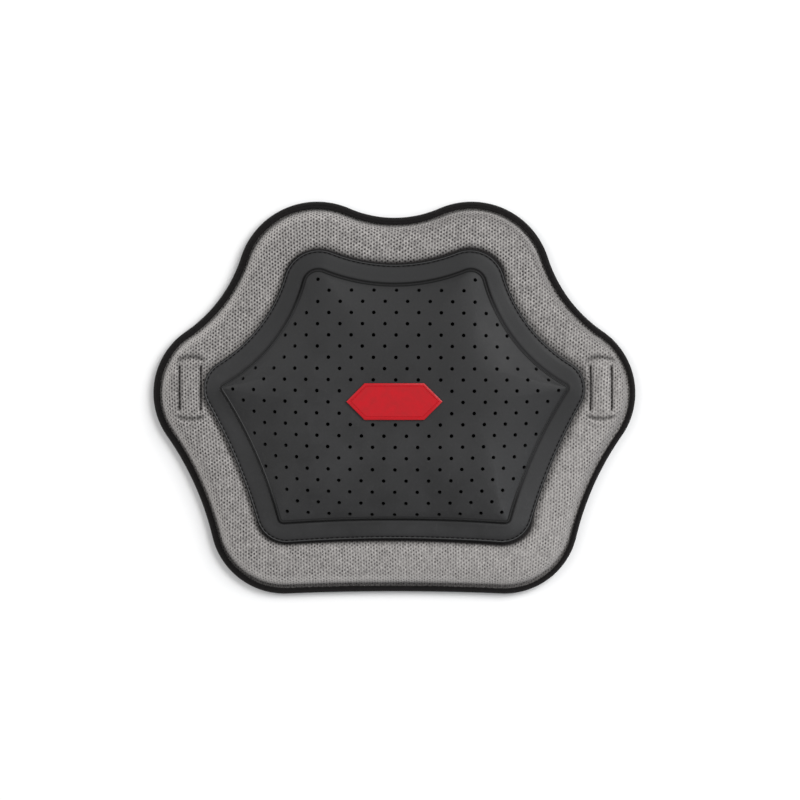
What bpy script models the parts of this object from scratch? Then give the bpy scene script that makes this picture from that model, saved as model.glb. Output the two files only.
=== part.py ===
"""A chest protector that lies on its back: a mesh-covered foam pad with a bound edge and a moulded,
perforated plate sewn on it. Metres, +X to the wearer's left, +Y to the neck, +Z out of the chest."""
from collections import namedtuple
from math import atan2, copysign, cos, hypot, pi, sin, sqrt, tau

import bmesh
import bpy
import numpy as np
from mathutils import Vector

# Overall size and the pad
WIDTH = 0.290
HEIGHT = 0.236
PAD_THICKNESS = 0.0135
LIP_THICKNESS = 0.003
BACK_HOLLOW = 0.008
BACK_RIM = 0.007
# The tape folded over the pad's lip
BINDING_WIDTH = 0.0045
BINDING_WALL = 0.001
BINDING_LIFT = 0.0003
BINDING_ROUND = 0.0014
# The plate and its raised panel
SIDE_BORDER = 0.0306
TOP_BORDER = 0.0294
BOTTOM_BORDER = 0.0306
PLATE_THICKNESS = 0.003
PLATE_EDGE = 0.002
PLATE_EDGE_ROUND = 0.0015
FLANGE_WIDTH = 0.0118
FLANGE_SIDE_WIDTH = 0.0102
PANEL_STEP = 0.002
DOME_RISE = 0.0125
SEAM_DEPTH = 0.0025
# The perforations: two square lattices a half pitch apart, of which every second row is a real hole here
HOLE_DIAMETER = 0.00205
HOLE_PITCH = 0.01345
HOLE_MARGIN = 0.0012
HOLE_EDGE = 0.0026
HOLE_CREEP = 0.004
CREEP_SLANT = 0.2
# The badge at the middle of the lattice
BADGE_LENGTH = 0.058
BADGE_HEIGHT = 0.022
BADGE_THICKNESS = 0.0012
BADGE_BEVEL = 0.0003
BADGE_CENTRE_Y = -0.0026
BADGE_MARGIN = 0.001
# The sewn lines and dents at each side
LINE_SPACING = 0.0132
LINE_LENGTH = 0.0265
LINE_WIDTH = 0.0012
LINE_DEPTH = 0.004
LINES_CENTRE_Y = 0.0055
DENT_WIDTH = 0.018
DENT_DEPTH = 0.0022
DENT_DISTANCE = 0.0172
# Clearances
GAP = 0.0003
SEAM_CLEARANCE = 0.0006
LIP_CLEARANCE = 0.0005

# Fineness: segments in each corner arc and each hollow arc, and the sides of a perforation
CORNER_SEGMENTS = 6
HOLLOW_SEGMENTS = 5
HOLE_SIDES = 6

# The three outlines, chains of six corner arcs and six hollow arcs. A rise or spread is where a corner's
# centre lies, a round is its radius, and the last four are the radii of the hollows between the corners.
# A rise and the rounds are shares of the outline's half height, the others of its half width.
Outline = namedtuple("Outline", "side_rise side_round top_spread top_round bottom_spread bottom_round "
                                "shoulder neck flank foot")
PAD_SHAPE = Outline(side_rise=0.022, side_round=0.380, top_spread=0.320, top_round=0.409,
                    bottom_spread=0.457, bottom_round=0.377,
                    shoulder=0.592, neck=0.470, flank=1.232, foot=10.4)
PLATE_SHAPE = Outline(side_rise=0.058, side_round=0.204, top_spread=0.395, top_round=0.243,
                      bottom_spread=0.564, bottom_round=0.212,
                      shoulder=0.808, neck=0.886, flank=2.80, foot=4.68)
PANEL_SHAPE = Outline(side_rise=0.072, side_round=0.032, top_spread=0.438, top_round=0.121,
                      bottom_spread=0.635, bottom_round=0.045,
                      shoulder=0.970, neck=1.083, flank=2.62, foot=8.8)

# The pad's top between the lip and the seam. Across is the share of the way from the lip to the seam,
# side and middle are the height there as a share of the pad's thickness and of the dome's rise.
PadRing = namedtuple("PadRing", "across side middle")
PAD_TOP = (
    PadRing(across=0.00, side=0.00, middle=0.00),
    PadRing(across=0.03, side=0.36, middle=0.01),
    PadRing(across=0.09, side=0.70, middle=0.04),
    PadRing(across=0.20, side=0.91, middle=0.09),
    PadRing(across=0.40, side=1.00, middle=0.16),
    PadRing(across=0.64, side=0.99, middle=0.24),
    PadRing(across=0.87, side=0.92, middle=0.29),
)

# The plate's surfaces from the edge in. Flange is the share of the way from the plate's outline to the
# panel's, top and under are shares of the panel's outline, and side and middle are shares of the dome's rise.
PlateRing = namedtuple("PlateRing", "flange top under side middle step")
PLATE_RINGS = (
    PlateRing(flange=0.00, top=1.000, under=1.000, side=0.00, middle=0.32, step=0),
    PlateRing(flange=0.50, top=1.000, under=1.000, side=0.06, middle=0.40, step=0),
    PlateRing(flange=1.00, top=1.000, under=0.980, side=0.10, middle=0.46, step=0),
    PlateRing(flange=1.00, top=0.985, under=0.965, side=0.12, middle=0.47, step=1),
    PlateRing(flange=1.00, top=0.800, under=0.790, side=0.50, middle=0.74, step=1),
    PlateRing(flange=1.00, top=0.580, under=0.580, side=0.83, middle=0.93, step=1),
    PlateRing(flange=1.00, top=0.380, under=0.380, side=1.00, middle=1.00, step=1),
)
FLAT_SHARE = PLATE_RINGS[-1].top

# The hollow of the pad's back: share of the plate's outline, and depth as a share of the whole hollow
BackRing = namedtuple("BackRing", "outline depth")
BACK_RINGS = (
    BackRing(outline=0.42, depth=1.00),
    BackRing(outline=0.62, depth=0.68),
    BackRing(outline=0.82, depth=0.23),
    BackRing(outline=1.00, depth=0.00),
)

# Heights and half sizes that follow from the sizes above
LIP_LOW = BINDING_LIFT + BINDING_WALL + GAP
LIP_TOP = LIP_LOW + LIP_THICKNESS
SEAT = PAD_THICKNESS - SEAM_DEPTH
PAD_SIZE = (WIDTH / 2, HEIGHT / 2, HEIGHT / 2)
PLATE_SIZE = (WIDTH / 2 - SIDE_BORDER, HEIGHT / 2 - TOP_BORDER, HEIGHT / 2 - BOTTOM_BORDER)
PANEL_SIZE = (PLATE_SIZE[0] - FLANGE_SIDE_WIDTH, PLATE_SIZE[1] - FLANGE_WIDTH, PLATE_SIZE[2] - FLANGE_WIDTH)

# Looks: colour, roughness
MESH_GREY = ((0.32, 0.30, 0.29), 0.9)
BINDING_BLACK = ((0.012, 0.010, 0.011), 0.8)
PLATE_GREY = ((0.047, 0.047, 0.050), 0.42)
BADGE_RED = ((0.58, 0.004, 0.012), 0.35)


def outline(size, shape, inset=0.0):
    """The outline's points, counter-clockwise from the right-hand corner, moved inwards by the inset."""
    half_width, top, bottom = size
    half_height = (top + bottom) / 2
    side = shape.side_round * half_height
    upper = shape.top_round * half_height
    lower = shape.bottom_round * half_height
    corners = [
        (half_width - side, shape.side_rise * half_height, side),
        (shape.top_spread * half_width, top - upper, upper),
        (-shape.top_spread * half_width, top - upper, upper),
        (side - half_width, shape.side_rise * half_height, side),
        (-shape.bottom_spread * half_width, lower - bottom, lower),
        (shape.bottom_spread * half_width, lower - bottom, lower),
    ]
    shares = (shape.shoulder, shape.neck, shape.shoulder, shape.flank, shape.foot, shape.flank)
    hollows = []
    for number, share in enumerate(shares):
        first = corners[number]
        second = corners[(number + 1) % len(corners)]
        hollows.append(tangent_hollow(first, second, share * half_width))
    points = []
    for number, corner in enumerate(corners):
        following = corners[(number + 1) % len(corners)]
        hollow = hollows[number]
        start = direction(corner, hollows[number - 1])
        turn = (direction(corner, hollow) - start) % tau
        points += arc(corner, corner[2] - inset, start, turn, CORNER_SEGMENTS)
        start = direction(hollow, corner)
        turn = (direction(hollow, following) - start + pi) % tau - pi
        points += arc(hollow, hollow[2] + inset, start, turn, HOLLOW_SEGMENTS)
    return np.array(points)


def tangent_hollow(first, second, radius):
    """Centre and radius of the arc that touches both corner arcs from outside, to the right of the way."""
    across = second[0] - first[0]
    up = second[1] - first[1]
    distance = hypot(across, up)
    near = radius + first[2]
    far = radius + second[2]
    along = (distance ** 2 + near ** 2 - far ** 2) / (2 * distance)
    aside = sqrt(max(near ** 2 - along ** 2, 0.0))
    across /= distance
    up /= distance
    return (first[0] + across * along + up * aside, first[1] + up * along - across * aside, radius)


def direction(centre, target):
    return atan2(target[1] - centre[1], target[0] - centre[0])


def arc(centre, radius, start, turn, segments):
    angles = [start + turn * step / segments for step in range(segments)]
    return [(centre[0] + radius * cos(angle), centre[1] + radius * sin(angle)) for angle in angles]


def middle_weight(x):
    """1 in the flat middle of the panel, falling smoothly to 0 at its side tips."""
    share = np.clip((np.abs(x) / PANEL_SIZE[0] - FLAT_SHARE) / (1 - FLAT_SHARE), 0, 1)
    return 1 - share * share * (3 - 2 * share)


def ring(points, height):
    heights = np.broadcast_to(height, len(points))
    return np.column_stack([points, heights])


def loft(rings, closed=False):
    """A bmesh skin over rings of equally many points, capped at both ends unless it closes on itself."""
    bm = bmesh.new()
    rows = [[bm.verts.new(point) for point in points] for points in rings]
    count = len(rows[0])
    pairs = list(zip(rows, rows[1:]))
    if closed:
        pairs.append((rows[-1], rows[0]))
    else:
        bm.faces.new(reversed(rows[0]))
        bm.faces.new(rows[-1])
    for low, high in pairs:
        for place in range(count):
            after = (place + 1) % count
            bm.faces.new((low[place], low[after], high[after]))
            bm.faces.new((low[place], high[after], high[place]))
    bmesh.ops.recalc_face_normals(bm, faces=bm.faces)
    return bm


def material(name, look):
    colour, roughness = look
    mat = bpy.data.materials.new(name)
    mat.use_nodes = True
    shader = mat.node_tree.nodes["Principled BSDF"]
    shader.inputs["Base Color"].default_value = (*colour, 1)
    shader.inputs["Roughness"].default_value = roughness
    shader.inputs["Metallic"].default_value = 0.0
    return mat


def add_object(name, bm, look=None):
    mesh = bpy.data.meshes.new(name)
    bm.to_mesh(mesh)
    bm.free()
    obj = bpy.data.objects.new(name, mesh)
    bpy.context.scene.collection.objects.link(obj)
    if look:
        mesh.materials.append(material(name, look))
        mesh.shade_smooth()
        mesh.set_sharp_from_angle(angle=0.6)
    return obj


def cut(obj, bm):
    """Cuts the closed bodies in the bmesh out of the object."""
    cutter = add_object(obj.name + "_cutter", bm)
    cutter.hide_render = True
    cutter.display_type = "WIRE"
    boolean = obj.modifiers.new("cut", "BOOLEAN")
    boolean.operation = "DIFFERENCE"
    boolean.solver = "EXACT"
    boolean.object = cutter


def plate_surface(row, under):
    """One ring of the plate, on its underside or its top."""
    edge = outline(PLATE_SIZE, PLATE_SHAPE)
    panel = outline(PANEL_SIZE, PANEL_SHAPE)
    share = row.under if under else row.top
    points = edge * (1 - row.flange) + panel * row.flange * share
    weight = middle_weight(points[:, 0])
    rise = DOME_RISE * (row.side * (1 - weight) + row.middle * weight)
    height = SEAT + GAP + rise + row.step * PANEL_STEP
    if not under:
        height = height + PLATE_THICKNESS
    return ring(points, height)


def make_pad():
    lip_inset = BINDING_WIDTH + LIP_CLEARANCE
    lip_end = BINDING_WALL + GAP
    plate_edge = outline(PLATE_SIZE, PLATE_SHAPE)
    seam = outline(PLATE_SIZE, PLATE_SHAPE, -SEAM_CLEARANCE)
    lip = outline(PAD_SIZE, PAD_SHAPE, lip_inset)
    rings = [ring(plate_edge * row.outline, BACK_HOLLOW * row.depth) for row in BACK_RINGS]
    rings.append(ring(outline(PAD_SIZE, PAD_SHAPE, BACK_RIM), 0.0))
    rings.append(ring(lip, LIP_LOW))
    rings.append(ring(outline(PAD_SIZE, PAD_SHAPE, lip_end), LIP_LOW))
    rings.append(ring(outline(PAD_SIZE, PAD_SHAPE, lip_end), LIP_TOP))
    for row in PAD_TOP:
        points = lip * (1 - row.across) + seam * row.across
        rise = DOME_RISE * row.middle * middle_weight(points[:, 0])
        rings.append(ring(points, LIP_TOP + (PAD_THICKNESS - LIP_TOP) * row.side + rise))
    seat = [plate_surface(row, under=True) - (0, 0, GAP) for row in PLATE_RINGS]
    seat[0] = np.column_stack([seam, seat[0][:, 2]])
    pad = add_object("pad", loft(rings + seat), MESH_GREY)
    lines = bmesh.new()
    for side in (-1, 1):
        add_side_lines(lines, side)
    cut(pad, lines)
    return pad


def add_side_lines(bm, side):
    """The two sewn lines of one side, and the dents above and below them."""
    centre_x = side * (PLATE_SIZE[0] + SIDE_BORDER * 0.29)
    top = PAD_THICKNESS + DOME_RISE / 4
    for offset in (-LINE_SPACING / 2, LINE_SPACING / 2):
        add_groove(bm, centre_x + offset, LINES_CENTRE_Y, PAD_THICKNESS - LINE_DEPTH, top)
    for way in (-1, 1):
        place = Vector((centre_x, LINES_CENTRE_Y + way * DENT_DISTANCE, PAD_THICKNESS))
        add_dent(bm, place, way)


def add_groove(bm, x, y, bottom, top):
    """A straight groove along Y, narrower at its bottom and with round ends."""
    rows = []
    for height, width in ((bottom, LINE_WIDTH / 2), (top, LINE_WIDTH)):
        half = width / 2
        end = LINE_LENGTH / 2 - half
        outline_points = [(half * cos(angle), end + half * sin(angle)) for angle in np.linspace(0, pi, 4)]
        outline_points += [(-px, -py) for px, py in outline_points]
        rows.append([bm.verts.new((x + px, y + py, height)) for px, py in outline_points])
    fill_between(bm, rows)


def add_dent(bm, place, way):
    """A shallow arched dent: a slim spindle along an arc, whose middle lies further from the lines."""
    stations = 6
    bow = DENT_DEPTH
    rows = []
    for step in range(stations + 1):
        share = 2 * step / stations - 1
        radius = DENT_DEPTH * (0.12 + 0.88 * sqrt(max(1 - share * share, 0)))
        centre = place + Vector((share * DENT_WIDTH / 2, way * bow * (1 - share * share), 0))
        angles = [tau * number / 6 for number in range(6)]
        rows.append([bm.verts.new(centre + Vector((0, radius * cos(a), radius * sin(a)))) for a in angles])
    fill_between(bm, rows)


def fill_between(bm, rows):
    """Joins rows of vertices into one closed body."""
    faces = [bm.faces.new(rows[0]), bm.faces.new(rows[-1])]
    count = len(rows[0])
    for low, high in zip(rows, rows[1:]):
        for place in range(count):
            after = (place + 1) % count
            faces.append(bm.faces.new((low[place], low[after], high[after], high[place])))
    bmesh.ops.recalc_face_normals(bm, faces=faces)


def make_binding():
    low = BINDING_LIFT
    high = LIP_TOP + GAP + BINDING_WALL
    bend = BINDING_ROUND * (1 - sqrt(0.5))
    section = (
        (BINDING_WIDTH, high),
        (BINDING_ROUND, high),
        (bend, high - bend),
        (0.0, high - BINDING_ROUND),
        (0.0, low + BINDING_ROUND),
        (bend, low + bend),
        (BINDING_ROUND, low),
        (BINDING_WIDTH, low),
        (BINDING_WIDTH, low + BINDING_WALL),
        (BINDING_WALL, low + BINDING_WALL),
        (BINDING_WALL, high - BINDING_WALL),
        (BINDING_WIDTH, high - BINDING_WALL),
    )
    rings = [ring(outline(PAD_SIZE, PAD_SHAPE, inset), height) for inset, height in section]
    return add_object("edge_binding", loft(rings, closed=True), BINDING_BLACK)


def make_plate():
    under = [plate_surface(row, under=True) for row in PLATE_RINGS]
    top = [plate_surface(row, under=False) for row in PLATE_RINGS]
    edge = outline(PLATE_SIZE, PLATE_SHAPE)
    round_inner = outline(PLATE_SIZE, PLATE_SHAPE, PLATE_EDGE_ROUND)
    edge_top = ring(edge, top[0][:, 2] - PLATE_THICKNESS + PLATE_EDGE)
    shoulder = ring(round_inner, top[0][:, 2])
    plate = add_object("plate", loft(top[:0:-1] + [shoulder, edge_top] + under), PLATE_GREY)
    holes = bmesh.new()
    for x, y in hole_places():
        add_hole(holes, x, y)
    cut(plate, holes)
    return plate


def hole_places():
    """The lattice places inside the panel and clear of the badge, every second row of them. A place that
    the moulding brings too near the panel's step is drawn in."""
    panel = outline(PANEL_SIZE, PANEL_SHAPE)
    badge = badge_outline(BADGE_MARGIN + HOLE_DIAMETER / 2)
    reach_x = int(WIDTH / HOLE_PITCH)
    reach_y = int(HEIGHT / HOLE_PITCH)
    places = []
    for row in range(-reach_y, reach_y + 1):
        for column in range(-reach_x, reach_x + 1):
            y = BADGE_CENTRE_Y + row * HOLE_PITCH
            x = moulded(column * HOLE_PITCH, y)
            depth = depth_inside(x, y, panel)
            if depth > HOLE_MARGIN and depth_inside(x, y, badge) < 0:
                x -= copysign(max(HOLE_EDGE - depth, 0.0) * sqrt(2), x)
                places.append((x, y))
    return places


def moulded(x, y):
    """Where a place of the flat lattice comes to lie once the panel's sides are drawn down over the pad."""
    flat = PANEL_SIZE[0] / 2 + CREEP_SLANT * y
    drawn = max(abs(x) - flat, 0.0) / (PANEL_SIZE[0] / 2)
    return x - copysign(HOLE_CREEP * drawn ** 1.5, x)


def depth_inside(x, y, points):
    """Distance from a place to an outline, counted as positive inside it."""
    start = points
    along = np.roll(points, -1, axis=0) - start
    to_place = np.array([x, y]) - start
    share = np.clip((to_place * along).sum(axis=1) / (along * along).sum(axis=1), 0, 1)
    away = to_place - along * share[:, None]
    distance = np.sqrt((away * away).sum(axis=1).min())
    crosses = (start[:, 1] > y) != (start[:, 1] + along[:, 1] > y)
    level = np.where(crosses, along[:, 1], 1.0)
    meets = start[:, 0] + (y - start[:, 1]) / level * along[:, 0]
    inside = (crosses & (meets > x)).sum() % 2
    return distance if inside else -distance


def add_hole(bm, x, y):
    radius = HOLE_DIAMETER / 2
    top = SEAT + DOME_RISE + PANEL_STEP + 2 * PLATE_THICKNESS
    rows = []
    for height in (0.0, top):
        angles = [tau * (side + 0.5) / HOLE_SIDES for side in range(HOLE_SIDES)]
        rows.append([bm.verts.new((x + radius * cos(a), y + radius * sin(a), height)) for a in angles])
    fill_between(bm, rows)


def badge_outline(margin=0.0):
    """A long hexagon whose ends are square points, grown by the margin."""
    half_length = BADGE_LENGTH / 2 + margin * sqrt(2)
    half_height = BADGE_HEIGHT / 2 + margin
    shoulder = half_length - half_height
    right = [(shoulder, -half_height), (half_length, 0.0), (shoulder, half_height)]
    points = right + [(-x, -y) for x, y in right]
    return np.array(points) + (0, BADGE_CENTRE_Y)


def make_badge():
    low = SEAT + GAP + DOME_RISE + PANEL_STEP + PLATE_THICKNESS + GAP
    points = badge_outline()
    badge = add_object("badge", loft([ring(points, low), ring(points, low + BADGE_THICKNESS)]), BADGE_RED)
    bevel = badge.modifiers.new("edges", "BEVEL")
    bevel.width = min(BADGE_BEVEL, BADGE_THICKNESS / 3)
    bevel.segments = 1
    bevel.limit_method = "ANGLE"
    return badge


def main():
    for obj in list(bpy.data.objects):
        bpy.data.objects.remove(obj, do_unlink=True)
    make_pad()
    make_binding()
    make_plate()
    make_badge()


main()
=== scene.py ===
"""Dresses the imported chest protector: knit, bound edge, moulded plate, stitches, light and camera."""
from collections import namedtuple
from math import atan2, ceil, cos, exp, hypot, pi, radians, sin, sqrt, tau

import bmesh
import bpy
import numpy as np
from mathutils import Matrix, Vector, noise
from mathutils.bvhtree import BVHTree


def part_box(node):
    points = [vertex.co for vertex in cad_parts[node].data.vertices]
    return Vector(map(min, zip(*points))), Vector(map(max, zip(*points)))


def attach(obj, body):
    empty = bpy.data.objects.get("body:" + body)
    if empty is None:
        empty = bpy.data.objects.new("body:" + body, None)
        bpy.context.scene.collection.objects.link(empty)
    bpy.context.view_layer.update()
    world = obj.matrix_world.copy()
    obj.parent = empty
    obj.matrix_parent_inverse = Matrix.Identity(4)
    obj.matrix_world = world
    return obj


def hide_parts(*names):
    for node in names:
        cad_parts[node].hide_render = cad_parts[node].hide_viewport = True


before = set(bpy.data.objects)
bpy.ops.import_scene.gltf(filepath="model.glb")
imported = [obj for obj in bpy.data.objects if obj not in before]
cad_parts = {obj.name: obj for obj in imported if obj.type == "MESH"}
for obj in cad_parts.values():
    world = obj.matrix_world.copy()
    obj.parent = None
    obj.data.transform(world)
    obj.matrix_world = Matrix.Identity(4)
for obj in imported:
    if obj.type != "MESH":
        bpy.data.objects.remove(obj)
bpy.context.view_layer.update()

MM = 0.001
FINE = 36

# Sizes that the frame gives
BINDING_LOW, BINDING_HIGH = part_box("edge_binding")
PLATE_LOW, PLATE_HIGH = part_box("plate")
BADGE_LOW, BADGE_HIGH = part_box("badge")
PAD_SIZE = (BINDING_HIGH.x, BINDING_HIGH.y, -BINDING_LOW.y)
PLATE_SIZE = (PLATE_HIGH.x, PLATE_HIGH.y, -PLATE_LOW.y)
SEAT = PLATE_LOW.z
FLAT_TOP = PLATE_HIGH.z

# Sizes of the construction that the boxes don't give
PLATE_THICKNESS = 3.0 * MM
PANEL_STEP = 2.0 * MM
FLANGE_WIDTH = 11.8 * MM
FLANGE_SIDE_WIDTH = 10.2 * MM
SEAM_DEPTH = 2.5 * MM
SEAM_CLEARANCE = 0.6 * MM
GAP = 0.3 * MM
LIP_THICKNESS = 3.0 * MM
LIP_INSET = 5.0 * MM
BINDING_WIDTH = 4.5 * MM
BINDING_WALL = 1.0 * MM
BACK_HOLLOW = 8.0 * MM
BACK_RIM = 7.0 * MM
DOME_RISE = FLAT_TOP - PLATE_THICKNESS - PANEL_STEP - SEAT
PANEL_SIZE = (PLATE_SIZE[0] - FLANGE_SIDE_WIDTH, PLATE_SIZE[1] - FLANGE_WIDTH, PLATE_SIZE[2] - FLANGE_WIDTH)
LIP_TOP = BINDING_HIGH.z - BINDING_WALL - GAP
LIP_LOW = LIP_TOP - LIP_THICKNESS
CROWN = SEAT - GAP + SEAM_DEPTH

# The three outlines, as in the solids but for the plate's flatter foot: rises and rounds are shares of the
# half height, the rest of the width
Outline = namedtuple("Outline", "side_rise side_round top_spread top_round bottom_spread bottom_round "
                                "shoulder neck flank foot")
PAD_SHAPE = Outline(side_rise=0.022, side_round=0.380, top_spread=0.320, top_round=0.409,
                    bottom_spread=0.457, bottom_round=0.377,
                    shoulder=0.592, neck=0.470, flank=1.232, foot=10.4)
PLATE_SHAPE = Outline(side_rise=0.058, side_round=0.204, top_spread=0.395, top_round=0.243,
                      bottom_spread=0.564, bottom_round=0.212,
                      shoulder=0.808, neck=0.886, flank=2.80, foot=7.50)
PANEL_SHAPE = Outline(side_rise=0.072, side_round=0.032, top_spread=0.438, top_round=0.121,
                      bottom_spread=0.635, bottom_round=0.045,
                      shoulder=0.970, neck=1.083, flank=2.62, foot=8.8)

# The pad's top from the lip to the seam, and the plate from its edge to its flat middle, as in the solids
PadRing = namedtuple("PadRing", "across side middle")
PAD_TOP = (
    PadRing(across=0.00, side=0.00, middle=0.00),
    PadRing(across=0.03, side=0.36, middle=0.01),
    PadRing(across=0.09, side=0.70, middle=0.04),
    PadRing(across=0.20, side=0.91, middle=0.09),
    PadRing(across=0.40, side=1.00, middle=0.16),
    PadRing(across=0.64, side=0.99, middle=0.24),
    PadRing(across=0.87, side=0.92, middle=0.29),
)
PlateRing = namedtuple("PlateRing", "flange share side middle step")
PLATE_RINGS = (
    PlateRing(flange=0.00, share=1.000, side=0.00, middle=0.32, step=0),
    PlateRing(flange=0.50, share=1.000, side=0.06, middle=0.40, step=0),
    PlateRing(flange=1.00, share=1.000, side=0.10, middle=0.46, step=0),
    PlateRing(flange=1.00, share=0.985, side=0.12, middle=0.47, step=1),
    PlateRing(flange=1.00, share=0.800, side=0.50, middle=0.74, step=1),
    PlateRing(flange=1.00, share=0.580, side=0.83, middle=0.93, step=1),
    PlateRing(flange=1.00, share=0.380, side=1.00, middle=1.00, step=1),
)
FLAT_SHARE = PLATE_RINGS[-1].share
BackRing = namedtuple("BackRing", "outline depth")
BACK_RINGS = (
    BackRing(outline=0.42, depth=1.00),
    BackRing(outline=0.62, depth=0.68),
    BackRing(outline=0.82, depth=0.23),
    BackRing(outline=1.00, depth=0.00),
)

# A rounder form that the panel's outline turns into towards the middle, so that no creases run in
DOME_SHAPE = Outline(side_rise=0.060, side_round=0.62, top_spread=0.400, top_round=0.62,
                     bottom_spread=0.520, bottom_round=0.60,
                     shoulder=4.0, neck=6.0, flank=8.0, foot=12.0)

# Fine relief of the plate's edge: distance in from the outline, height against the flange's surface, and
# how dull and dark the crease there is, its darkness painted shade; below zero it is a painted highlight on
# the lip
Relief = namedtuple("Relief", "inset height crease")
PLATE_EDGE = (
    Relief(0.00 * MM, -1.00 * MM, 2.5),
    Relief(0.00 * MM, -0.45 * MM, 2.5),
    Relief(0.20 * MM, -0.20 * MM, 2.2),
    Relief(0.45 * MM, -0.08 * MM, 1.2),
    Relief(0.72 * MM, -0.02 * MM, -0.3),
    Relief(0.95 * MM, -0.05 * MM, -0.3),
    Relief(1.15 * MM, -0.22 * MM, 0.5),
    Relief(1.40 * MM, -0.32 * MM, 0.7),
    Relief(1.75 * MM, -0.30 * MM, 0.5),
    Relief(2.05 * MM, -0.18 * MM, 0.2),
    Relief(2.45 * MM, 0.00 * MM, 0.0),
)
# The same for the panel's step: a fine groove at its foot, the rise, a narrow bead and a second groove.
# Height is counted from the flange, and step says what share of the step's rise is added.
StepRelief = namedtuple("StepRelief", "inset height step crease")
PANEL_EDGE = (
    StepRelief(-1.20 * MM, 0.00 * MM, 0.00, 0.0),
    StepRelief(-0.80 * MM, -0.08 * MM, 0.00, 0.4),
    StepRelief(-0.40 * MM, -0.26 * MM, 0.00, 1.0),
    StepRelief(0.10 * MM, -0.26 * MM, 0.02, 1.1),
    StepRelief(0.40 * MM, 0.00 * MM, 0.50, 0.9),
    StepRelief(0.65 * MM, 0.00 * MM, 0.92, 0.6),
    StepRelief(0.90 * MM, 0.03 * MM, 1.00, 0.5),
    StepRelief(1.10 * MM, -0.03 * MM, 1.00, 0.9),
    StepRelief(1.30 * MM, -0.22 * MM, 1.00, 1.0),
    StepRelief(1.60 * MM, -0.20 * MM, 1.00, 0.8),
    StepRelief(2.00 * MM, 0.00 * MM, 1.00, 0.0),
)

# Perforations
HOLE_RADIUS = 1.06 * MM
HOLE_PITCH = 13.45 * MM
HOLE_MARGIN = 2.45 * MM
HOLE_FLANK_MARGIN = 1.2 * MM
HOLE_EDGE = 2.6 * MM
HOLE_SHIFT = (0.7 * MM, -0.5 * MM)
HOLE_TILT = 0.009
HOLE_CREEP = 3.6 * MM
CREEP_SLANT = 0.41
HOLE_RISE = 1.1 * MM
HOLE_CORNER_RISE = 3.6 * MM
HOLE_CHAMFER = 0.10 * MM
HOLE_SIDES = 14
BADGE_MARGIN = 2.0 * MM

# Colours of the knit: its bright knots, partly a painted highlight, its dull strands, yarn that is soiled
# and in places painted shade, the painted shade in the holes and the painted shade of the deepest creases
YARN_BRIGHT = (0.61, 0.582, 0.563)
YARN_DULL = (0.24, 0.229, 0.222)
YARN_SOIL_AND_SHADE = (0.12, 0.113, 0.110)
KNIT_HOLE_SHADE = (0.040, 0.036, 0.036)
KNIT_SHADE = (0.016, 0.014, 0.014)

# The knit: columns of holes this far apart, holes this far apart in a column, and how deep they are
KNIT_COLUMN = 1.66 * MM
KNIT_PITCH = 2.27 * MM
KNIT_DEPTH = 0.85 * MM

# The sewn lines and dents at each side
LINE_SPACING = 12.9 * MM
LINE_LENGTH = 26.5 * MM
LINE_WIDTH = 1.1 * MM
LINES_CENTRE_Y = 5.5 * MM
LINES_OUT = 0.29 * (PAD_SIZE[0] - PLATE_SIZE[0])
LINES_SHIFT = 0.75 * MM
DENT_WIDTH = 18.0 * MM
DENT_DISTANCE = 16.6 * MM
DENT_BOW = 1.9 * MM

# The photograph's frame: 800 pixels wide, with the pad's centre off the picture's
PHOTO_PIXELS = 800
PAD_PIXELS = 481.5
PAD_CENTRE_PIXEL = (394.4, 397.3)


def direction(centre, target):
    return atan2(target[1] - centre[1], target[0] - centre[0])


def tangent_hollow(first, second, radius):
    """Centre and radius of the arc that touches both corner arcs from outside, to the right of the way."""
    across = second[0] - first[0]
    up = second[1] - first[1]
    distance = hypot(across, up)
    near = radius + first[2]
    far = radius + second[2]
    along = (distance ** 2 + near ** 2 - far ** 2) / (2 * distance)
    aside = sqrt(max(near ** 2 - along ** 2, 0.0))
    across /= distance
    up /= distance
    return (first[0] + across * along + up * aside, first[1] + up * along - across * aside, radius)


def arc(centre, radius, start, turn, segments):
    angles = start + turn * np.arange(segments) / segments
    return np.column_stack([centre[0] + radius * np.cos(angles), centre[1] + radius * np.sin(angles)])


def outline(size, shape, inset=0.0, fine=FINE):
    """The outline's points, counter-clockwise from the right-hand corner, moved inwards by the inset."""
    half_width, top, bottom = size
    half_height = (top + bottom) / 2
    side = shape.side_round * half_height
    upper = shape.top_round * half_height
    lower = shape.bottom_round * half_height
    corners = [
        (half_width - side, shape.side_rise * half_height, side),
        (shape.top_spread * half_width, top - upper, upper),
        (-shape.top_spread * half_width, top - upper, upper),
        (side - half_width, shape.side_rise * half_height, side),
        (-shape.bottom_spread * half_width, lower - bottom, lower),
        (shape.bottom_spread * half_width, lower - bottom, lower),
    ]
    shares = (shape.shoulder, shape.neck, shape.shoulder, shape.flank, shape.foot, shape.flank)
    hollows = []
    for number, share in enumerate(shares):
        following = corners[(number + 1) % len(corners)]
        hollows.append(tangent_hollow(corners[number], following, share * half_width))
    points = []
    for number, corner in enumerate(corners):
        following = corners[(number + 1) % len(corners)]
        hollow = hollows[number]
        start = direction(corner, hollows[number - 1])
        turn = (direction(corner, hollow) - start) % tau
        points.append(arc(corner, corner[2] - inset, start, turn, fine))
        start = direction(hollow, corner)
        turn = (direction(hollow, following) - start + pi) % tau - pi
        points.append(arc(hollow, hollow[2] + inset, start, turn, fine))
    return np.concatenate(points)


def middle_weight(x):
    """1 in the flat middle of the panel, falling smoothly to 0 at its side tips."""
    share = np.clip((np.abs(x) / PANEL_SIZE[0] - FLAT_SHARE) / (1 - FLAT_SHARE), 0, 1)
    return 1 - share * share * (3 - 2 * share)


def ring(points, height):
    return np.column_stack([points, np.broadcast_to(height, len(points))])


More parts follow.
